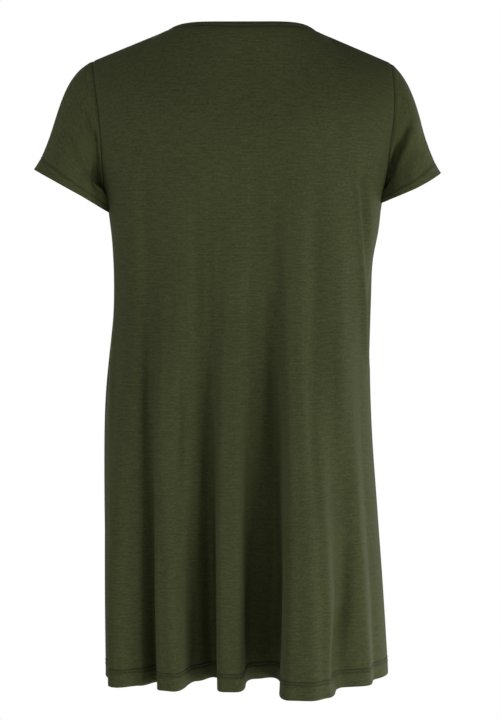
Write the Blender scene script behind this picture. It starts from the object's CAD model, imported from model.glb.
import bpy
import numpy as np
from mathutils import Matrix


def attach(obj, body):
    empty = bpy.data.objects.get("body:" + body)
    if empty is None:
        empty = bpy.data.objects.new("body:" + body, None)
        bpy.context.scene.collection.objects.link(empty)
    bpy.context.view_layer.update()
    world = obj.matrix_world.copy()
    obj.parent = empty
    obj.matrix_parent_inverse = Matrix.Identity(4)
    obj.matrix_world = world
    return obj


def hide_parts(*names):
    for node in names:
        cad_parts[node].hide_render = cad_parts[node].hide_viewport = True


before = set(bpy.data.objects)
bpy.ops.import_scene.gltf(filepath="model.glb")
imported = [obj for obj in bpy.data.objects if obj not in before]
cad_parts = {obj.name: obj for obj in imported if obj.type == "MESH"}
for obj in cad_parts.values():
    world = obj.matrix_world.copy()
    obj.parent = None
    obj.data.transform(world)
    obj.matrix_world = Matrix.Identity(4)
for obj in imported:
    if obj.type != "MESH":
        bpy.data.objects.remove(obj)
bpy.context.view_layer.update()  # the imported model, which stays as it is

mm = 0.001  # shapes are worked out in millimetres and made in metres

body = {
    "hemZ": -868.0,
    "underarmZ": -221.0,
    "neckHalf": 101.0,
    "neckBackY": 60.0,
    "neckFrontY": -80.0,
    "neckBackZ": -2.0,
    "neckFrontZ": -88.0,
    "leftNeckZ": -5.0,
    "rightNeckZ": -6.0,
    "neckCurve": 1.3,  # above 1 the neckline leaves the shoulder more gently
    "neckLift": 2.4,  # the back neckline stands higher near its ends
    "shoulderY": -8.0,
    "shoulderHalf": 200.0,
    "leftTipZ": -43.0,
    "rightTipZ": -46.0,
    "backFullZ": -132.0,  # the back has its full depth from here down
    "frontFullZ": -206.0,
    "roundNeck": 1.45,  # how round the cloth turns over, at the neck and at the shoulder tip
    "roundShoulder": 1.9,
    "growTurn": 0.8,  # below 1 the columns move over to their folds sooner
    "firstOut": 0.25,  # share of a fold's depth that grows evenly, the rest grows faster lower down
}

cloth = {
    "wall": 0.9,  # jersey and the air in its knit
    "hemWall": 1.8,
    "hemDeep": 23.0,
    "rowGap": 3.6,  # between the two rows of hem stitching
    "seamDip": 0.7,  # how far the cloth is drawn in at a seam
    "seamReach": 3.5,
    "creaseEase": 6.0,  # creases grow over this much cloth from a seam
    "rowDip": 0.9,  # how far the hem stitching draws the cloth in, and over what half height
    "rowHalf": 1.0,
    "rowSwell": 0.5,  # the cloth swells between the rows and this far below them
    "swellHalf": 1.3,
    "swellBelow": 3.4,
    "doubledAbove": 2.0,  # the turned hem ends so far over the stitching
    "doubledOver": 3.0,  # and thins over this height
}

grids = {
    "shoulder": 26,  # columns along each shoulder seam
    "back": 196,
    "front": 188,
    "yoke": 46,  # rows from the shoulders to the underarm
    "skirt": 142,
    "sleeve": 44,
    "besideSeam": (0.9, 2.0, 3.4, 5.2),  # closer columns, in millimetres from both side seams
    "yokeEase": (1.5, 1.3),  # powers that set the yoke's rows closer at both ends
}

sectionNames = ("z", "left", "right", "back", "front", "squareLeft", "squareRight")
sections = {
    "shoulder": (-30.0, 226.0, 228.0, 88.0, 88.0, 2.3, 2.3),
    "blade": (-110.0, 214.0, 224.0, 99.0, 104.0, 2.3, 2.3),
    "mid armhole": (-160.0, 206.0, 214.0, 103.0, 113.0, 2.4, 2.4),
    "low armhole": (-195.0, 192.0, 199.0, 103.0, 119.0, 2.5, 2.5),
    "underarm": (-221.0, 183.0, 190.0, 102.0, 120.0, 2.6, 2.5),
    "side": (-262.0, 177.0, 185.0, 100.0, 118.0, 2.6, 2.5),
    "ribs": (-300.0, 174.0, 177.0, 98.0, 114.0, 2.6, 2.5),
    "waist": (-365.0, 173.0, 174.0, 96.0, 104.0, 2.6, 2.5),
    "high hip": (-430.0, 177.0, 173.0, 100.0, 102.0, 2.7, 2.5),
    "hip": (-530.0, 183.5, 175.5, 108.0, 106.0, 3.0, 2.6),
    "thigh": (-640.0, 184.0, 183.0, 108.0, 107.0, 3.3, 2.7),
    "above hem": (-760.0, 182.5, 191.0, 105.0, 106.0, 3.7, 2.9),
    "hem": (-868.0, 179.5, 197.0, 102.0, 104.0, 4.0, 3.0),
}

armholeNames = ("z", "left", "right")
armholes = {
    "tip": (-46.5, 200.0, 200.0),
    "cap": (-81.0, 194.5, 201.5),
    "upper": (-115.0, 189.0, 201.0),
    "middle": (-162.0, 185.5, 196.0),
    "lower": (-194.0, 184.5, 193.0),
    "underarm": (-221.0, 183.0, 190.0),
}

# Ridges and troughs at the hem: place across, how far out, steepness of the flank to the next
# row, the height where it begins, how far it stands to the left halfway up, and 1 for the
# ridges that columns keep to
foldNames = ("across", "out", "flank", "start", "lean", "ridge")
backFolds = {
    "right seam": (-197.0, 0.0, 0.0, -300.0, 0.0, 1),
    "right corner": (-172.0, 9.0, 0.0, -300.0, 0.0, 0),
    "right panel": (-152.0, 32.0, 0.0, -260.0, 0.0, 0),
    "right valley": (-126.0, 29.0, 0.3, -240.0, 0.0, 0),
    "ridge three's far side": (-102.0, 78.0, 0.0, -150.0, -2.0, 0),
    "ridge three": (-82.0, 91.0, 0.0, -150.0, -4.0, 1),
    "ridge three's edge": (-58.0, 87.0, 2.0, -150.0, -9.0, 0),
    "deep trough": (-40.0, -34.0, 0.0, -160.0, -12.0, 0),
    "trough floor": (-19.0, -27.0, 0.9, -160.0, 2.0, 0),
    "ridge two": (8.0, 44.0, 0.0, -220.0, 3.0, 1),
    "ridge two's edge": (25.0, 43.0, 1.7, -220.0, 4.0, 0),
    "middle trough": (38.0, -36.0, 0.0, -180.0, 3.0, 0),
    "middle floor": (59.0, -15.0, 0.3, -180.0, 4.0, 0),
    "ridge one": (86.0, 42.0, 0.0, -200.0, 8.0, 1),
    "ridge one's edge": (100.0, 38.0, 1.7, -200.0, 5.0, 0),
    "left trough": (113.0, -6.0, 0.0, -150.0, -3.0, 0),
    "left floor": (129.0, 18.0, 0.0, -150.0, 0.0, 0),
    "left panel": (150.0, 40.0, 0.0, -300.0, 0.0, 0),
    "left corner": (168.0, 9.0, 0.0, -320.0, 0.0, 0),
    "left seam": (179.5, 0.0, 0.0, -300.0, 0.0, 1),
}
frontFolds = {
    "right seam": (-197.0, 0.0, 0.0, -300.0, 0.0, 1),
    "right corner": (-172.0, 12.0, 0.0, -320.0, 0.0, 0),
    "right trough": (-146.0, -8.0, 0.4, -260.0, 0.0, 0),
    "right ridge": (-108.0, 44.0, 0.8, -250.0, 4.0, 1),
    "inner trough": (-63.0, -28.0, 0.7, -280.0, 0.0, 0),
    "middle ridge": (-22.0, 30.0, 0.6, -330.0, 0.0, 1),
    "centre trough": (22.0, -24.0, 0.7, -300.0, 0.0, 0),
    "left ridge": (70.0, 50.0, 0.9, -250.0, -4.0, 1),
    "left trough": (116.0, -18.0, 0.3, -280.0, 0.0, 0),
    "left panel": (148.0, 22.0, 0.0, -320.0, 0.0, 0),
    "left seam": (179.5, 0.0, 0.0, -300.0, 0.0, 1),
}

# Small creases: x and z of one end, x and z of the other, half width and height of the relief.
# Troughs are below 0.
backCreases = {
    "ridge one's foot": (129.0, -174.0, 123.0, -600.0, 8.0, -4.6),
    "ridge two's foot": (61.0, -205.0, 52.0, -600.0, 9.0, -4.4),
    "ridge three's foot": (-40.0, -190.0, -48.0, -620.0, 9.0, -4.6),
    "line beside ridge one": (80.0, -440.0, 80.0, -680.0, 4.5, -5.0),
    "ridge two's shoulder": (37.0, -230.0, 35.0, -540.0, 6.0, 2.6),
    "hollow on ridge three": (-96.0, -180.0, -98.0, -640.0, 12.0, -9.0),
    "upper end of ridge one": (108.0, -320.0, 104.0, -680.0, 8.0, 4.5),
    "right fold, upper": (-131.0, -544.0, -137.0, -701.0, 9.0, -3.0),
    "right fold, middle": (-137.0, -662.0, -131.0, -805.0, 8.0, -6.0),
    "right fold, lower": (-131.0, -753.0, -119.0, -885.0, 7.0, -8.0),
    "right panel's swell": (-127.0, -240.0, -130.0, -600.0, 12.0, 5.0),
    "side roll, upper": (-149.0, -170.0, -158.0, -309.0, 3.5, 4.0),
    "side roll, lower": (-156.0, -265.0, -168.0, -460.0, 3.5, 4.5),
    "right armhole edge": (-199.0, -120.0, -186.0, -236.0, 3.0, 1.6),
    "hollow beyond it, upper": (-157.0, -184.0, -168.0, -309.0, 5.0, -6.5),
    "hollow beyond it, lower": (-166.0, -266.0, -177.0, -450.0, 4.5, -6.5),
    "left edge": (173.0, -400.0, 176.0, -880.0, 4.0, 3.0),
    "pinch": (57.0, -668.0, 39.0, -664.0, 2.5, -1.8),
    "left slant, upper": (146.0, -636.0, 136.0, -674.0, 4.5, -1.6),
    "left slant, lower": (149.0, -693.0, 155.0, -744.0, 4.5, -1.6),
    "left underarm drag": (178.0, -235.0, 120.0, -330.0, 12.0, 2.0),
    "left armhole drag": (176.0, -150.0, 140.0, -215.0, 10.0, -1.8),
    "right armhole drag": (-183.0, -150.0, -150.0, -225.0, 10.0, -1.8),
    "shoulder blade, left": (120.0, -60.0, 60.0, -175.0, 26.0, 2.0),
    "shoulder blade, right": (-120.0, -60.0, -60.0, -175.0, 26.0, 2.0),
    "waist hollow": (-60.0, -365.0, 70.0, -372.0, 24.0, -1.6),
}
frontCreases = {
    "left bust drag": (176.0, -170.0, 90.0, -245.0, 12.0, 2.4),
    "right bust drag": (-182.0, -165.0, -92.0, -240.0, 12.0, 2.4),
    "left fold start": (74.0, -240.0, 72.0, -520.0, 14.0, 4.0),
    "left slant": (146.0, -420.0, 120.0, -560.0, 9.0, -2.4),
    "right slant": (-148.0, -470.0, -126.0, -640.0, 9.0, -2.6),
    "centre line": (10.0, -330.0, 24.0, -560.0, 10.0, -2.0),
    "collar drag, left": (92.0, -60.0, 60.0, -150.0, 14.0, -1.6),
    "collar drag, right": (-92.0, -60.0, -60.0, -150.0, 14.0, -1.6),
    "left side roll": (179.0, -330.0, 184.0, -850.0, 7.0, 5.5),
    "right side roll": (-184.0, -215.0, -176.0, -440.0, 7.0, 3.0),
}

# Sleeves: the side, the outer and the inner point of the hem as x outwards and z, then its half
# size front to back, its shift along y, how level the sleeve leaves the shoulder and how far its
# outer line is hollowed
cuffs = {
    "sleeveLeft": (1.0, 280.0, -188.5, 191.0, -238.0, 64.0, 2.0, 0.92, 3.5),
    "sleeveRight": (-1.0, 267.5, -193.0, 197.0, -230.0, 68.0, 2.0, 0.78, 3.0),
}
cuffHang = {
    # behind: lower than the middle by, sagging between its ends by, and tucked in beside the
    # body by so much inwards, forwards and down
    "sleeveLeft": {"pitch": -3.0, "sag": 0.0, "tuck": (23.0, 18.0, 16.0)},
    "sleeveRight": {"pitch": -1.0, "sag": 2.0, "tuck": (20.0, 18.0, 8.0)},
}
sleeveCloth = {
    "leaveUnder": (0.92, -0.39),  # outwards and up, the way the cloth leaves the armhole
    "leaveSides": (0.80, -0.60),
    "hem": 20.0,  # along the top of the sleeve, narrowing with its length towards the underarm
    "rowGap": 3.4,
    "rowDip": 0.6,
    "rowSwell": 0.35,
    "creaseEase": 4.0,
    "backReach": 25.0,  # creases are only behind, and grow over this much of the depth
}
leftSleeveCreases = {
    "short slant": (206.0, -104.0, 194.0, -150.0, 4.0, -4.0),
    "beside the armhole, upper": (193.0, -128.0, 192.0, -180.0, 4.0, -5.0),
    "beside the armhole, lower": (192.0, -165.0, 189.0, -215.0, 4.5, -6.0),
    "long slant, upper": (226.0, -138.0, 206.0, -180.0, 5.0, -4.0),
    "long slant, lower": (210.0, -168.0, 195.0, -208.0, 5.5, -6.0),
    "ridge by the slant": (216.0, -150.0, 203.0, -210.0, 5.0, 2.4),
    "armpit": (193.0, -180.0, 187.0, -240.0, 6.0, -7.0),
}
rightSleeveCreases = {
    "deep slant, upper": (-221.0, -122.0, -206.0, -170.0, 5.0, -3.0),
    "deep slant, lower": (-209.0, -152.0, -193.0, -200.0, 4.5, -7.5),
    "ridge by the slant": (-227.0, -132.0, -199.0, -205.0, 6.0, 3.0),
    "armpit": (-196.0, -180.0, -190.0, -234.0, 6.0, -3.0),
    "outer slant": (-246.0, -120.0, -236.0, -170.0, 8.0, -1.6),
}


def column(table, names, name):
    return np.array([row[names.index(name)] for row in table.values()])


def unit(vectors):
    return vectors / np.maximum(np.linalg.norm(vectors, axis=-1, keepdims=True), 1e-9)


def smoothThrough(at, places, values):
    # cubic curve through the rows of a table, with each row's slope that of its neighbours
    order = np.argsort(places)
    x, y = np.asarray(places)[order], np.asarray(values)[order]
    slope = np.gradient(y, x)
    at = np.clip(at, x[0], x[-1])
    i = np.clip(np.searchsorted(x, at, side="right") - 1, 0, len(x) - 2)
    width = x[i + 1] - x[i]
    t = (at - x[i]) / width
    start = (1 + 2 * t) * (1 - t) ** 2 * y[i] + t * (1 - t) ** 2 * width * slope[i]
    return start + t * t * (3 - 2 * t) * y[i + 1] + t * t * (t - 1) * width * slope[i + 1]


def softened(names, table, name, reach=36.0):
    # a table column as a curve, averaged over a short height so that no band shows in the light
    z = np.linspace(20.0, -910.0, 931)
    values = smoothThrough(z, column(table, names, "z"), column(table, names, name))
    window = np.hanning(int(reach) * 2 + 1)
    padded = np.pad(values, int(reach), mode="edge")
    mean = np.convolve(padded, window / window.sum(), mode="valid")
    return lambda at: np.interp(-at, -z, mean)


curves = {name: softened(sectionNames, sections, name) for name in sectionNames[1:]}
armholeCurves = {name: softened(armholeNames, armholes, name, 10.0) for name in ("left", "right")}


def bySide(x, z, left, right):
    return np.where(x > 0, curves[left](z), curves[right](z))


def polar(turn, z):
    # superellipse of size one at an angle: |x|^n + |y|^n = 1
    n = bySide(turn, z, "squareLeft", "squareRight")
    radius = (np.abs(np.sin(turn)) ** n + np.abs(np.cos(turn)) ** n) ** (-1 / n)
    return np.sin(turn) * radius, np.cos(turn) * radius


def layFolds(table, depthName):
    # walks along the hem from fold to fold: the angle runs on with a sine that steepens the
    # flanks, the depth eases from row to row, and columns are spread evenly over the length
    across, out = column(table, foldNames, "across"), column(table, foldNames, "out")
    flank, start = column(table, foldNames, "flank"), column(table, foldNames, "start")
    half = bySide(across, body["hemZ"], "left", "right")
    n = bySide(across, body["hemZ"], "squareLeft", "squareRight")
    xi = np.clip(across / half, -1, 1)
    turn = np.arctan2(xi, (1 - np.abs(xi) ** n) ** (1 / n))
    turn[[0, -1]] = -np.pi / 2, np.pi / 2  # both seams lie in the plane y = 0
    steps = 80
    phase = np.linspace(0, 1, steps, endpoint=False)[None, :]
    ease = (1 - np.cos(np.pi * phase)) / 2
    run = phase + flank[:-1, None] * np.sin(2 * np.pi * phase) / (2 * np.pi)
    walk = {
        "turn": np.append(turn[:-1, None] + np.diff(turn)[:, None] * run, turn[-1]),
        "out": np.append(out[:-1, None] + np.diff(out)[:, None] * ease, out[-1]),
        "start": np.append(start[:-1, None] + np.diff(start)[:, None] * ease, start[-1]),
    }
    x, y = polar(walk["turn"], body["hemZ"])
    x = x * bySide(x, body["hemZ"], "left", "right")
    y = y * curves[depthName](body["hemZ"]) + walk["out"]
    length = np.append(0, np.cumsum(np.hypot(np.diff(x), np.diff(y))))
    walk["place"] = 2 * length / length[-1] - 1
    rows = np.append(np.arange(len(across) - 1) * steps, len(walk["turn"]) - 1)
    ridge = column(table, foldNames, "ridge") > 0
    lean = column(table, foldNames, "lean") / half
    walk["lean"] = np.append(lean[:-1, None] + np.diff(lean)[:, None] * ease, lean[-1])
    walk["ridgePlace"], walk["ridgeTurn"] = walk["place"][rows[ridge]], turn[ridge]
    walk["length"] = length[-1]
    return walk


def edgeColumns(count, length):
    # even columns with a few closer ones beside both side seams
    extra = np.array(grids["besideSeam"]) * 2 / length
    inner = np.linspace(-1 + extra[-1], 1 - extra[-1], count + 1 - 2 * len(extra))
    return np.concatenate([[-1], -1 + extra[:-1], inner, 1 - extra[:-1][::-1], [1]])


def topEdge(u, neckY, neckZ):
    # shoulder seam, neckline and shoulder seam: straight lines and an ellipse between them
    columns = grids["shoulder"]
    run = (u[: columns + 1] - u[0]) / (u[columns] - u[0])
    x = body["shoulderHalf"] + (body["neckHalf"] - body["shoulderHalf"]) * run
    y = np.full_like(x, body["shoulderY"])
    tips = (body["rightTipZ"], body["leftTipZ"])
    neckEnds = (body["rightNeckZ"], body["leftNeckZ"])
    right, left = (tip + (end - tip) * run for tip, end in zip(tips, neckEnds))
    right, left = np.stack([-x, y, right], -1), np.stack([x, y, left], -1)
    inner = u[columns:-columns]
    turn = np.pi * ((inner - inner[0]) / (inner[-1] - inner[0]) - 0.5)[1:-1]
    y = body["shoulderY"] + (neckY - body["shoulderY"]) * np.cos(turn)
    ends = (body["leftNeckZ"] + body["rightNeckZ"]) / 2
    ends = ends + (body["leftNeckZ"] - body["rightNeckZ"]) / 2 * np.sin(turn)
    z = ends + (neckZ - ends) * np.cos(turn) ** body["neckCurve"]
    if neckY > 0:
        z = z + body["neckLift"] * np.sin(2 * turn) ** 2
    neck = np.stack([body["neckHalf"] * np.sin(turn), y, z], -1)
    return np.concatenate([right, neck, left[::-1]])


def rowHeights():
    # close rows at the hem, where the stitching and the edge are
    hemZ, top = body["hemZ"], body["hemZ"] + cloth["hemDeep"]
    skirt = np.linspace(body["underarmZ"], top + 4.0, grids["skirt"])
    lower = top - cloth["rowGap"]
    close = [top + 2.4, top + 1.2, top, top - 1.1, top - cloth["rowGap"] / 2]
    close = close + [lower + 1.1, lower, lower - 1.2]
    return np.concatenate([skirt, close, np.linspace(lower - 3.0, hemZ + 2.0, 7), [hemZ + 0.7, hemZ]])


def panelGrid(walk, u, side, neckY, neckZ, fullZ, depthName):
    # rows run down from the shoulders and neckline, columns from the right seam to the left
    top = topEdge(u, neckY, neckZ)[None]
    run = np.linspace(0, 1, grids["yoke"] + 1)[:-1, None]
    startPower, endPower = grids["yokeEase"]
    step = 1 - (1 - run ** startPower) ** endPower
    skirt = rowHeights()[:, None]
    z = np.concatenate([top[..., 2] + (body["underarmZ"] - top[..., 2]) * step, skirt + 0 * u[None]])
    u = u[None] + 0 * z
    growth = np.clip((body["underarmZ"] - z) / (body["underarmZ"] - body["hemZ"]), 0, 1)
    even = smoothThrough(u, walk["ridgePlace"], walk["ridgeTurn"])
    folded = np.interp(u, walk["place"], walk["turn"])
    lean = np.interp(u, walk["place"], walk["lean"]) * 4 * growth * (1 - growth)
    turn = even + (folded - even) * growth ** body["growTurn"] + lean
    level, _ = polar(turn, np.minimum(z, body["underarmZ"]))
    mix = np.sqrt(np.concatenate([step, np.ones((len(skirt), 1))]))
    fraction = top[..., 0] / body["shoulderHalf"] * (1 - mix) + level * mix
    half = bySide(u, z, "left", "right")
    reach = np.where(u > 0, armholeCurves["left"](z), armholeCurves["right"](z))
    reach = np.where(z < body["underarmZ"], half, np.minimum(reach, half))
    n = bySide(u, z, "squareLeft", "squareRight")
    x = fraction * reach
    xi = np.clip(np.abs(x) / half, 0, 1)
    eta = (1 - xi ** n) ** (1 / n)
    depth = curves[depthName](z)
    drop = np.clip((top[..., 2] - z) / (top[..., 2] - fullZ), 0, 1)
    toTip = np.abs(top[..., 0]) / body["shoulderHalf"]
    power = body["roundNeck"] + (body["roundShoulder"] - body["roundNeck"]) * toTip
    over = (1 - (1 - drop) ** power) ** (1 / power)
    y = top[..., 1] + (side * depth * eta - top[..., 1]) * over
    started = np.interp(u, walk["place"], walk["start"])
    grown = np.clip((started - z) / (started - body["hemZ"]), 0, 1)
    grown = grown * (body["firstOut"] + (1 - body["firstOut"]) * grown)
    out = np.interp(u, walk["place"], walk["out"]) * grown * over
    away = unit(np.stack([np.sign(x) * xi ** (n - 1) / half, side * eta ** (n - 1) / depth], -1))
    return np.stack([x + out * away[..., 0], y + out * away[..., 1], z], -1)


def sleeveGrid(armhole, cuff, hang):
    # cubic curves from the armhole seam to the hem, an ellipse, that leave the shoulder sideways
    side, outerX, outerZ, innerX, innerZ, halfY, shiftY, cap, press = cuff
    outer = np.array([side * outerX, shiftY, outerZ])
    inner = np.array([side * innerX, shiftY, innerZ])
    reach = (outer - inner) / 2
    outward = unit(reach)
    axis = np.array([side * outward[2], 0.0, -side * outward[0]])
    gaps = np.linalg.norm(np.roll(armhole, -1, axis=0) - armhole, axis=1)
    half = len(armhole) // 2
    back = np.append(0, np.cumsum(gaps[:half]))
    front = np.append(0, np.cumsum(gaps[half:]))
    turn = np.pi * np.concatenate([back / back[-1], 1 + front[1:-1] / front[-1]])[:, None]
    fromTop, fromUnder = np.clip(np.cos(turn), 0, 1) ** 2, np.clip(-np.cos(turn), 0, 1) ** 2
    fromSide = np.sin(turn) ** 2
    ring = (outer + inner) / 2 + reach * np.cos(turn) + np.array([0, halfY, 0]) * np.sin(turn)
    ring = ring + axis * (hang["pitch"] * np.sin(turn) + hang["sag"] * fromSide)
    behind = np.where(np.sin(turn) > 0, 4 * fromSide * fromUnder, 0)
    ring = ring - behind * np.array(hang["tuck"]) * np.array([side, 1, 1])
    leave = fromTop * np.array([side * cap, 0, -np.sqrt(1 - cap * cap)])
    for share, way in ((fromUnder, "leaveUnder"), (fromSide, "leaveSides")):
        outwards, up = sleeveCloth[way]
        leave = leave + share * np.array([side * outwards, 0, up])
    leave = unit(leave)
    span = np.linalg.norm(ring - armhole, axis=1, keepdims=True)
    hem, row = sleeveCloth["hem"] / span.max(), sleeveCloth["rowGap"] / span.max()
    lower = 1 - hem + row
    close = [1 - hem, 1 - hem + row / 2, lower, *np.linspace(lower + 0.008, 0.985, 5), 0.995, 1]
    t = np.concatenate([[0, 0.006, 0.014, 0.024], np.linspace(0.036, 1 - hem - 0.012, grids["sleeve"])])
    t = np.concatenate([t, [1 - hem - 0.006], close])[:, None, None]
    start = (1 + 2 * t) * (1 - t) ** 2 * armhole + t * (1 - t) ** 2 * span * leave
    hollow = outward * press * fromTop * t * t * (1 - t) * 27 / 4
    end = t * t * (3 - 2 * t) * ring + t * t * (t - 1) * span * axis
    return start + end - hollow, len(close)


def gridNormals(grid, wrap, flip):
    # cross product of the differences between neighbouring points
    along = np.roll(grid, -1, 1) - np.roll(grid, 1, 1) if wrap else np.gradient(grid, axis=1)
    return flip * unit(np.cross(along, np.gradient(grid, axis=0)))


def creaseRelief(points, table):
    # each crease is a bell across its line, easing off to nothing at both ends
    x, z = points[..., 0], points[..., 2]
    relief = np.zeros_like(x)
    for x0, z0, x1, z1, half, high in table.values():
        dx, dz = x1 - x0, z1 - z0
        t = ((x - x0) * dx + (z - z0) * dz) / (dx * dx + dz * dz)
        gone = np.hypot(x - x0 - dx * np.clip(t, 0, 1), z - z0 - dz * np.clip(t, 0, 1))
        ends = np.sin(np.pi * np.clip(t, 0.02, 0.98)) ** 0.7
        relief += high * ends * np.exp(-(gone / half) ** 2)
    return relief


def seamDistance(grid, wrap):
    # distance in the cloth from the top edge and, where the piece isn't a tube, both side edges
    down = np.linalg.norm(np.diff(grid, axis=0), axis=-1)
    distance = np.concatenate([np.zeros((1, grid.shape[1])), np.cumsum(down, axis=0)])
    if not wrap:
        across = np.linalg.norm(np.diff(grid, axis=1), axis=-1)
        fromRight = np.concatenate([np.zeros((grid.shape[0], 1)), np.cumsum(across, axis=1)], axis=1)
        distance = np.minimum(distance, np.minimum(fromRight, fromRight[:, -1:] - fromRight))
    return distance


def seamDip(distance):
    # the cloth is drawn in at a seam and plumps up a little beside it
    near = distance / cloth["seamReach"]
    return cloth["seamDip"] * (-np.exp(-near ** 2 * 2.2) + 0.25 * np.exp(-((near - 1.5) / 0.7) ** 2))


def nearRow(z, heights, half):
    return sum(np.exp(-((z - height) / half) ** 2) for height in heights)


def twoTriangles(a, b, c, d):
    return np.concatenate([np.stack([a, b, c], -1).reshape(-1, 3), np.stack([a, c, d], -1).reshape(-1, 3)])


def shellFaces(rows, columns, wrap, flip):
    # outer faces, inner faces turned round and a rim on every open edge
    index = np.arange(rows * columns).reshape(rows, columns)
    here, right = (index, np.roll(index, -1, 1)) if wrap else (index[:, :-1], index[:, 1:])
    size = rows * columns
    faces = [np.stack([here[:-1], right[:-1], right[1:], here[1:]], -1).reshape(-1, 4)]
    faces.append(faces[0][:, ::-1] + size)
    faces.append(np.stack([here[0], here[0] + size, right[0] + size, right[0]], -1))
    faces.append(np.stack([here[-1], right[-1], right[-1] + size, here[-1] + size], -1))
    if not wrap:
        first, last = index[:, 0], index[:, -1]
        faces.append(np.stack([first[:-1], first[1:], first[1:] + size, first[:-1] + size], -1))
        faces.append(np.stack([last[:-1], last[:-1] + size, last[1:] + size, last[1:]], -1))
    faces = np.concatenate(faces)
    return faces[:, ::-1] if flip < 0 else faces


def makeMesh(name, points, faces, uv=None, attributes=None):
    mesh = bpy.data.meshes.new(name)
    corners = faces.shape[1]
    mesh.vertices.add(len(points))
    mesh.vertices.foreach_set("co", (points * mm).astype(np.float32).ravel())
    mesh.loops.add(faces.size)
    mesh.loops.foreach_set("vertex_index", faces.astype(np.int32).ravel())
    mesh.polygons.add(len(faces))
    mesh.polygons.foreach_set("loop_start", np.arange(0, faces.size, corners, dtype=np.int32))
    mesh.update(calc_edges=True)
    if uv is not None:
        layer = mesh.uv_layers.new(name="cloth")
        layer.data.foreach_set("uv", uv[faces.ravel()].astype(np.float32).ravel())
    for key, values in (attributes or {}).items():
        layer = mesh.attributes.new(key, "FLOAT", "POINT")
        layer.data.foreach_set("value", values.astype(np.float32).ravel())
    mesh.validate()
    mesh.shade_smooth()
    piece = bpy.data.objects.new(name, mesh)
    bpy.context.scene.collection.objects.link(piece)
    return piece


def clothUv(grid):
    # lengths in the cloth in metres: along each row from its middle, and down each column
    across = np.linalg.norm(np.diff(grid, axis=1), axis=-1)
    u = np.concatenate([np.zeros((grid.shape[0], 1)), np.cumsum(across, axis=1)], axis=1)
    u = u - u[:, grid.shape[1] // 2][:, None]
    down = np.linalg.norm(np.diff(grid, axis=0), axis=-1).mean(axis=1)
    v = np.append(0, -np.cumsum(down))[:, None] + 0 * u
    return np.stack([u, v], -1).reshape(-1, 2) * mm


def shellPiece(name, outer, normals, thickness, wrap, flip, distance, sewn):
    inner = outer - normals * thickness
    uv = clothUv(outer)
    points = np.concatenate([outer.reshape(-1, 3), inner.reshape(-1, 3)])
    faces = shellFaces(*outer.shape[:2], wrap, flip)
    attributes = {"seam": np.tile(distance.ravel(), 2), "sewn": np.tile(sewn.ravel(), 2)}
    return makeMesh(name, points, faces, np.tile(uv, (2, 1)), attributes)


def shareNormals(*places):
    common = unit(sum(normals[index] for normals, index in places))
    for normals, index in places:
        normals[index] = common


print("shaping the panels")
backWalk = layFolds(backFolds, "back")
frontWalk = layFolds(frontFolds, "front")
backU = edgeColumns(grids["back"], backWalk["length"])
frontU = edgeColumns(grids["front"], frontWalk["length"])
back = panelGrid(backWalk, backU, 1, body["neckBackY"], body["neckBackZ"], body["backFullZ"], "back")
front = panelGrid(frontWalk, frontU, -1, body["neckFrontY"], body["neckFrontZ"], body["frontFullZ"], "front")
backNormals = gridNormals(back, False, 1)
frontNormals = gridNormals(front, False, -1)

print("shaping the sleeves")
yoke, shoulder = grids["yoke"], grids["shoulder"]
sleeves = {}
for name, cuff in cuffs.items():
    edge = -1 if cuff[0] > 0 else 0
    armhole = np.concatenate([back[:yoke + 1, edge], front[1:yoke, edge][::-1]])
    grid, hemRows = sleeveGrid(armhole, cuff, cuffHang[name])
    normals = gridNormals(grid, True, -cuff[0])
    sleeves[name] = {"grid": grid, "normals": normals, "edge": edge, "side": cuff[0], "hemRows": hemRows}

print("joining the pieces along their seams")
for row in range(yoke + 1, back.shape[0]):
    for edge in (0, -1):
        shareNormals((backNormals, (row, edge)), (frontNormals, (row, edge)))
for step in range(1, shoulder + 1):
    shareNormals((backNormals, (0, step)), (frontNormals, (0, step)))
    shareNormals((backNormals, (0, -1 - step)), (frontNormals, (0, -1 - step)))
for sleeve in sleeves.values():
    edge, normals = sleeve["edge"], sleeve["normals"]
    for row in range(1, yoke):
        shareNormals((backNormals, (row, edge)), (normals, (0, row)))
        shareNormals((frontNormals, (row, edge)), (normals, (0, 2 * yoke - row)))
    for row in (0, yoke):
        shareNormals((backNormals, (row, edge)), (frontNormals, (row, edge)), (normals, (0, row)))


def neckLoop(backRow, frontRow):
    # one closed loop, along the back and home along the front
    return np.concatenate([backRow[shoulder:-shoulder], frontRow[shoulder + 1:-shoulder - 1][::-1]])


def smoothLoop(values, rounds):
    for _ in range(rounds):
        values = (np.roll(values, 1, axis=0) + 2 * values + np.roll(values, -1, axis=0)) / 4
    return values


def squareTo(values, *directions):
    for direction in directions:
        values = values - direction * (values * direction).sum(axis=1, keepdims=True)
    return unit(values)


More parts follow.
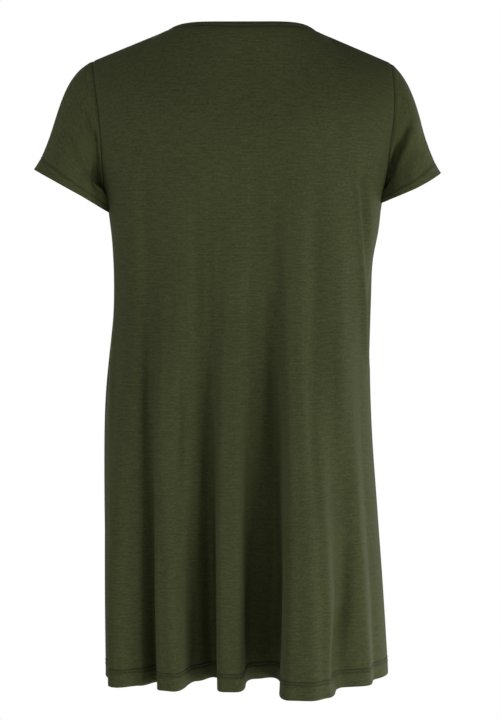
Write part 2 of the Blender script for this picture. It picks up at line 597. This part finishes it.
binding = {
    "upright": 0.35,  # how much it stands up from the line of the cloth
    # the folded strip in section: height above the seam and how far it stands out, going round
    "rise": (-0.9, 0.2, 0.9, 2.0, 4.0, 6.0, 7.2, 7.8, 7.9, 7.5, 6.4, 4.0, 1.4, 0.0, -0.9),
    "out": (-0.95, 0.1, 0.7, 1.0, 1.0, 0.95, 0.7, 0.2, -0.4, -0.95, -1.25, -1.3, -1.35, -1.5, -1.4),
}
loop = neckLoop(back[0], front[0])
along = unit(smoothLoop(np.roll(loop, -1, axis=0) - np.roll(loop, 1, axis=0), 6))
facing = unit(smoothLoop(neckLoop(backNormals[0], frontNormals[0]), 40))
rise = squareTo(np.cross(along, facing) + np.array([0.0, 0.0, binding["upright"]]), along)
facing = squareTo(facing, along, rise)
backCount = back.shape[1] - 2 * shoulder
backNormals[0, shoulder:-shoulder] = facing[:backCount]
frontNormals[0, shoulder + 1:-shoulder - 1] = facing[backCount:][::-1]
for corner in (shoulder, -1 - shoulder):
    frontNormals[0, corner] = backNormals[0, corner]


def reliefOf(grid, distance, creases, ease, share=1.0):
    # creases die out at the seams, which are dipped alike on both sides
    return creaseRelief(grid, creases) * (1 - np.exp(-(distance / ease) ** 2)) * share + seamDip(distance)


def panelPiece(name, grid, normals, flip, creases):
    distance = seamDistance(grid, False)
    hemTop = body["hemZ"] + cloth["hemDeep"]
    rowZ = (hemTop, hemTop - cloth["rowGap"])
    sewn = nearRow(grid[..., 2], rowZ, cloth["rowHalf"])
    beside = nearRow(grid[..., 2], (sum(rowZ) / 2, rowZ[1] - cloth["swellBelow"]), cloth["swellHalf"])
    relief = reliefOf(grid, distance, creases, cloth["creaseEase"])
    relief = relief - cloth["rowDip"] * sewn + cloth["rowSwell"] * beside
    sewn[0, shoulder:-shoulder] = 1.0
    outer = grid + normals * relief[..., None]
    doubled = np.clip((hemTop + cloth["doubledAbove"] - grid[..., 2:]) / cloth["doubledOver"], 0, 1)
    thickness = cloth["wall"] + (cloth["hemWall"] - cloth["wall"]) * doubled
    heights = grid[:, 0, 2]
    rows = [int(np.abs(heights - z).argmin()) for z in rowZ]
    piece = shellPiece(name, outer, normals, thickness, False, flip, distance, sewn)
    return piece, [(outer[row], normals[row]) for row in rows]


def sleevePiece(name, sleeve, creases):
    grid, normals = sleeve["grid"], sleeve["normals"]
    distance = seamDistance(grid, True)
    behind = np.clip(grid[..., 1] / sleeveCloth["backReach"], 0, 1)
    relief = reliefOf(grid, distance, creases, sleeveCloth["creaseEase"], behind)
    first = len(grid) - sleeve["hemRows"]
    rows = (first, first + 2)
    sewn = np.zeros_like(relief)
    sewn[rows, :] = 1.0
    relief = relief - sleeveCloth["rowDip"] * sewn
    relief[first + 1] += sleeveCloth["rowSwell"]
    outer = grid + normals * relief[..., None]
    thickness = np.full(grid.shape[:2] + (1,), cloth["wall"])
    thickness[first:] = cloth["hemWall"]
    piece = shellPiece(name, outer, normals, thickness, True, -sleeve["side"], distance, sewn)
    return piece, [(outer[row], normals[row]) for row in rows]


def bindingPiece():
    up = np.array(binding["rise"])[:, None, None]
    out = np.array(binding["out"])[:, None, None]
    ring = loop[None] + rise[None] * up + facing[None] * out
    rows, columns = ring.shape[:2]
    index = np.arange(rows * columns).reshape(rows, columns)
    nextRow, nextColumn = np.roll(index, -1, 0), np.roll(index, -1, 1)
    faces = np.stack([index, nextRow, np.roll(nextRow, -1, 1), nextColumn], -1).reshape(-1, 4)
    spacing = np.linalg.norm(np.roll(loop, -1, 0) - loop, axis=1)
    length = np.append(0, np.cumsum(spacing)[:-1])
    uv = np.stack([np.tile(length, (rows, 1)), np.tile(up[..., 0], (1, columns))], -1).reshape(-1, 2) * mm
    seam = np.tile(np.maximum(up[..., 0], 0.1), (1, columns))
    return makeMesh("neckBinding", ring.reshape(-1, 3), faces[:, ::-1], uv, {"seam": seam.ravel()})


thread = {
    "pitch": 3.0,
    "length": 2.3,
    "radius": 0.17,
    "sides": 5,
    # along the stitch in halves of its length, size of its section and lift off the cloth
    "along": (-1.0, -0.8, 0.0, 0.8, 1.0),
    "size": (0.5, 0.95, 1.0, 0.95, 0.5),
    "lift": (-0.20, 0.02, 0.12, 0.02, -0.20),
    "aheadBehind": 0.6,  # the way of a stitch is taken this far to both sides of its middle
    "colour": (0.030, 0.034, 0.015, 1.0),
    "roughness": 0.7,
}


def stitches(name, runs):
    # short capsules spaced evenly along each row of sewing
    points, faces, start = [], [], 0
    turn = np.linspace(0, 2 * np.pi, thread["sides"], endpoint=False)
    rings, sides = len(thread["along"]), thread["sides"]
    index = np.arange(rings * sides).reshape(rings, sides)
    across = np.roll(index, -1, axis=1)
    one = twoTriangles(index[:-1], across[:-1], across[1:], index[1:])
    fan = np.stack([np.zeros(sides - 2, int), np.arange(2, sides), np.arange(1, sides - 1)], -1)
    one = np.concatenate([one, fan, fan[:, ::-1] + (rings - 1) * sides])
    for path, normals, closed in runs:
        if closed:
            path, normals = np.vstack([path, path[:1]]), np.vstack([normals, normals[:1]])
        length = np.append(0, np.cumsum(np.linalg.norm(np.diff(path, axis=0), axis=1)))
        count = int(length[-1] / thread["pitch"])
        at = (np.arange(count) + 0.5) * length[-1] / count

        def along(values, where):
            return np.stack([np.interp(where, length, values[:, k]) for k in range(3)], -1)

        centre, away = along(path, at), unit(along(normals, at))
        forward = along(path, at + thread["aheadBehind"]) - along(path, at - thread["aheadBehind"])
        forward = unit(forward)
        sideways = unit(np.cross(away, forward))
        place = np.array(thread["along"])[None, :, None, None] * thread["length"] / 2
        size = np.array(thread["size"])[None, :, None, None] * thread["radius"]
        lift = np.array(thread["lift"])[None, :, None, None]
        wide, high = np.cos(turn)[None, None, :, None] * size, np.sin(turn)[None, None, :, None] * size
        block = centre[:, None, None] + forward[:, None, None] * place
        block = block + away[:, None, None] * (lift + high) + sideways[:, None, None] * wide
        points.append(block.reshape(-1, 3))
        firsts = start + np.arange(count) * rings * sides
        faces.append((one[None] + firsts[:, None, None]).reshape(-1, 3))
        start += count * rings * sides
    return makeMesh(name, np.concatenate(points), np.concatenate(faces))


print("making the cloth")
backPiece, backRows = panelPiece("backPanel", back, backNormals, 1, backCreases)
frontPiece, frontRows = panelPiece("frontPanel", front, frontNormals, -1, frontCreases)
leftPiece, leftRows = sleevePiece("sleeveLeft", sleeves["sleeveLeft"], leftSleeveCreases)
rightPiece, rightRows = sleevePiece("sleeveRight", sleeves["sleeveRight"], rightSleeveCreases)
neckPiece = bindingPiece()
print("sewing the hems")
backStitches = stitches("backStitches", [(*row, False) for row in backRows])
frontStitches = stitches("frontStitches", [(*row, False) for row in frontRows])
leftStitches = stitches("leftStitches", [(*row, True) for row in leftRows])
rightStitches = stitches("rightStitches", [(*row, True) for row in rightRows])


class Value:
    # wraps a socket so that shader maths reads like ordinary maths
    def __init__(self, tree, socket):
        self.tree, self.socket = tree, socket

    def math(self, operation, *others):
        return self.tree.add("ShaderNodeMath", {"operation": operation}, self, *others)

    def __add__(self, other):
        return self.math("ADD", other)

    def __sub__(self, other):
        return self.math("SUBTRACT", other)

    def __mul__(self, other):
        return self.math("MULTIPLY", other)

    def __truediv__(self, other):
        return self.math("DIVIDE", other)

    def sine(self):
        return self.math("SINE")

    def bell(self, width):
        # one at zero, falling off over the width
        return (self / width * (self / width) * -1).math("EXPONENT")


class Tree:
    def __init__(self, name):
        self.material = bpy.data.materials.new(name)
        self.material.use_nodes = True
        self.nodes, self.links = self.material.node_tree.nodes, self.material.node_tree.links
        self.surface = self.nodes["Principled BSDF"]

    def add(self, kind, settings, *sockets, output=0, **named):
        node = self.nodes.new(kind)
        for key, value in settings.items():
            setattr(node, key, value)
        for key, value in [*enumerate(sockets), *named.items()]:
            self.join(value, node.inputs[key])
        return Value(self, node.outputs[output])

    def join(self, value, socket):
        if isinstance(value, Value):
            self.links.new(value.socket, socket)
        else:
            socket.default_value = value


jersey = {
    "dark": (0.0290, 0.0340, 0.0108, 1.0),
    "light": (0.0600, 0.0670, 0.0250, 1.0),
    "seamShade": (0.012, 0.0135, 0.006, 1.0),
    "roughness": 0.82,
    "sheen": 0.06,
    "sheenRoughness": 0.45,
    "sheenTint": (0.62, 0.66, 0.48, 1.0),
    "wale": 0.00095,  # metres between the ribs of the knit
    "course": 0.0011,
    "bump": 0.35,
    "reliefDeep": 0.0004,
    "specular": 0.15,
    "seamShare": 0.45,  # how much of the shade lies in a seam and along the sewing
    "sewnShare": 0.6,
    "ribWobble": 0.0012,
    "loopWobble": 0.0008,
    # how strongly each kind of unevenness tints the cloth, and how far each stands out
    "tint": {"slub": 1.5, "fine": 1.4, "broad": 0.35, "ribs": 0.06},
    "relief": {"ribs": 0.35, "loops": 0.3, "slub": 1.4, "fine": 0.9},
    "roughnessSlub": 0.12,
}
# One cloth in the real dress: the tones match how light each piece looks in the photograph
tones = {"panels": 1.0, "neckBinding": 0.92, "sleeveLeft": 1.13, "sleeveRight": 1.25}


def jerseyMaterial(name, tone):
    tree = Tree(name)
    uv = tree.add("ShaderNodeUVMap", {"uv_map": "cloth"})
    u = tree.add("ShaderNodeSeparateXYZ", {}, uv)
    v = Value(tree, u.socket.node.outputs[1])
    seam = tree.add("ShaderNodeAttribute", {"attribute_name": "seam"}, output=2)
    # yarn: ribs down the cloth, rows of loops across it, and uneven yarn along those rows
    wobble = tree.add("ShaderNodeTexNoise", {}, uv, Scale=60.0, Detail=2.0)
    ribs = ((u + wobble * jersey["ribWobble"]) * (2 * np.pi / jersey["wale"])).sine()
    loops = ((v + wobble * jersey["loopWobble"]) * (2 * np.pi / jersey["course"])).sine()
    rowPlace = tree.add("ShaderNodeCombineXYZ", {}, u * 55.0, v * 420.0, 0.0)
    slub = tree.add("ShaderNodeTexNoise", {}, rowPlace, Scale=1.0, Detail=3.0, Roughness=0.6)
    finePlace = tree.add("ShaderNodeCombineXYZ", {}, u * 260.0, v * 420.0, 0.0)
    fine = tree.add("ShaderNodeTexNoise", {}, finePlace, Scale=1.0, Detail=2.0)
    broad = tree.add("ShaderNodeTexNoise", {}, uv, Scale=9.0, Detail=3.0)
    share = jersey["tint"]
    tint = (slub - 0.5) * share["slub"] + (fine - 0.5) * share["fine"]
    tint = tint + (broad - 0.5) * share["broad"] + ribs * share["ribs"] + 0.5
    settings = {"data_type": "RGBA"}
    dark = tuple(tone * c for c in jersey["dark"][:3]) + (1.0,)
    light = tuple(tone * c for c in jersey["light"][:3]) + (1.0,)
    mixed = tree.add("ShaderNodeMix", settings, tint, output=2)
    tree.join(dark, mixed.socket.node.inputs[6])
    tree.join(light, mixed.socket.node.inputs[7])
    sewn = tree.add("ShaderNodeAttribute", {"attribute_name": "sewn"}, output=2)
    shade = seam.bell(1.0) * jersey["seamShare"] + sewn * jersey["sewnShare"]
    shaded = tree.add("ShaderNodeMix", settings, shade, output=2)
    tree.join(mixed, shaded.socket.node.inputs[6])
    tree.join(jersey["seamShade"], shaded.socket.node.inputs[7])
    deep = jersey["relief"]
    height = ribs * deep["ribs"] + loops * deep["loops"]
    height = height + (slub - 0.5) * deep["slub"] + (fine - 0.5) * deep["fine"]
    raised = {"Strength": jersey["bump"], "Distance": jersey["reliefDeep"], "Height": height}
    bump = tree.add("ShaderNodeBump", {}, **raised)
    tree.join(shaded, tree.surface.inputs["Base Color"])
    tree.join(bump, tree.surface.inputs["Normal"])
    roughness = (slub - 0.5) * jersey["roughnessSlub"] + jersey["roughness"]
    tree.join(roughness, tree.surface.inputs["Roughness"])
    tree.surface.inputs["Sheen Weight"].default_value = jersey["sheen"]
    tree.surface.inputs["Sheen Roughness"].default_value = jersey["sheenRoughness"]
    tree.surface.inputs["Sheen Tint"].default_value = jersey["sheenTint"]
    tree.surface.inputs["Specular IOR Level"].default_value = jersey["specular"]
    return tree.material


def plainMaterial(name, colour, roughness):
    tree = Tree(name)
    tree.surface.inputs["Base Color"].default_value = colour
    tree.surface.inputs["Roughness"].default_value = roughness
    return tree.material


print("materials")
panelCloth = jerseyMaterial("oliveJersey", tones["panels"])
bindingCloth = jerseyMaterial("oliveBinding", tones["neckBinding"])
threadMaterial = plainMaterial("oliveThread", thread["colour"], thread["roughness"])
for piece in (backPiece, frontPiece):
    piece.data.materials.append(panelCloth)
leftPiece.data.materials.append(jerseyMaterial("oliveSleeve", tones["sleeveLeft"]))
rightPiece.data.materials.append(jerseyMaterial("paleSleeve", tones["sleeveRight"]))
neckPiece.data.materials.append(bindingCloth)
for piece in (backStitches, frontStitches, leftStitches, rightStitches):
    piece.data.materials.append(threadMaterial)

replaced = {
    "back": (backPiece, backStitches),
    "front": (frontPiece, frontStitches),
    "sleeve_left": (leftPiece, leftStitches),
    "sleeve_right": (rightPiece, rightStitches),
    "neck_binding": (neckPiece,),
}
for node, pieces in replaced.items():
    for piece in pieces:
        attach(piece, "root")
        "binding" if node == "neck_binding" else "jersey"
    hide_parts(node)

print("stage, lights and camera")
floor = {
    "z": -1400.0,
    "radius": 1450.0,
    "sides": 96,
    "colour": (0.80, 0.80, 0.79, 1.0),
    "roughness": 0.9,
}
turn = np.linspace(0, 2 * np.pi, floor["sides"], endpoint=False)
level = np.full_like(turn, floor["z"] / floor["radius"])
rim = np.stack([np.sin(turn), np.cos(turn), level], -1) * floor["radius"]
floorPiece = makeMesh("floor", rim, np.arange(floor["sides"])[None, ::-1])
floorPiece.data.materials.append(plainMaterial("paleFloor", floor["colour"], floor["roughness"]))

lights = {
    # place, side of the square, power and colour; all face the middle of the skirt
    "lowRight": ((-1.9, 1.6, -1.15), 1.2, 47.0, (1.0, 0.99, 0.97)),
    "nearRight": ((-1.3, 2.4, -0.6), 1.2, 5.5, (1.0, 1.0, 0.99)),
    "right": ((-2.6, 0.3, -0.8), 1.2, 13.0, (1.0, 1.0, 1.0)),
    "rightEdge": ((-2.2, -1.5, -1.0), 1.2, 30.0, (1.0, 1.0, 0.97)),
    "left": ((2.6, 0.5, -0.3), 1.2, 2.0, (1.0, 1.0, 1.0)),
    "highLeft": ((2.5, 0.9, 0.6), 1.2, 27.0, (1.0, 1.0, 1.0)),
    "nearLeft": ((1.6, 2.2, -0.6), 1.2, 8.0, (1.0, 1.0, 1.0)),
    "nearLow": ((0.0, 2.7, -1.15), 1.2, 4.0, (1.0, 1.0, 1.0)),
    "front": ((0.2, -2.6, 0.0), 1.6, 70.0, (1.0, 1.0, 1.0)),
}
aim = np.array((0.0, 0.0, -0.45))
for name, (place, size, power, colour) in lights.items():
    light = bpy.data.lights.new(name, "AREA")
    light.shape, light.size, light.energy, light.color = "SQUARE", size, power, colour
    lamp = bpy.data.objects.new(name, light)
    bpy.context.scene.collection.objects.link(lamp)
    away = np.array(place) - aim
    lamp.location = place
    tilt = np.arctan2(np.hypot(away[0], away[1]), away[2])
    lamp.rotation_euler = (tilt, 0, np.arctan2(away[0], -away[1]))

surround = {"seen": 1.0, "light": 0.15}  # white behind the dress, softer as light on it
world = bpy.data.worlds.new("softWhite")
world.use_nodes = True
nodes, links = world.node_tree.nodes, world.node_tree.links
soft, seen = nodes["Background"], nodes.new("ShaderNodeBackground")
for node, strength in ((soft, surround["light"]), (seen, surround["seen"])):
    node.inputs["Strength"].default_value = strength
    node.inputs["Color"].default_value = (1.0, 1.0, 1.0, 1.0)
path, either = nodes.new("ShaderNodeLightPath"), nodes.new("ShaderNodeMixShader")
links.new(path.outputs["Is Camera Ray"], either.inputs[0])
links.new(soft.outputs[0], either.inputs[1])
links.new(seen.outputs[0], either.inputs[2])
links.new(either.outputs[0], nodes["World Output"].inputs["Surface"])
bpy.context.scene.world = world

view = {
    "place": (-0.0108, 2.6, -0.230),
    "down": 4.75,  # degrees
    "lens": 96.0,
    "sensor": 36.0,
}
camera = bpy.data.objects.new("camera", bpy.data.cameras.new("camera"))
camera.data.lens, camera.data.sensor_width = view["lens"], view["sensor"]
camera.location = view["place"]
camera.rotation_euler = (np.radians(90 - view["down"]), 0, np.pi)
bpy.context.scene.collection.objects.link(camera)
bpy.context.scene.camera = camera
bpy.context.scene.view_settings.view_transform = "Standard"
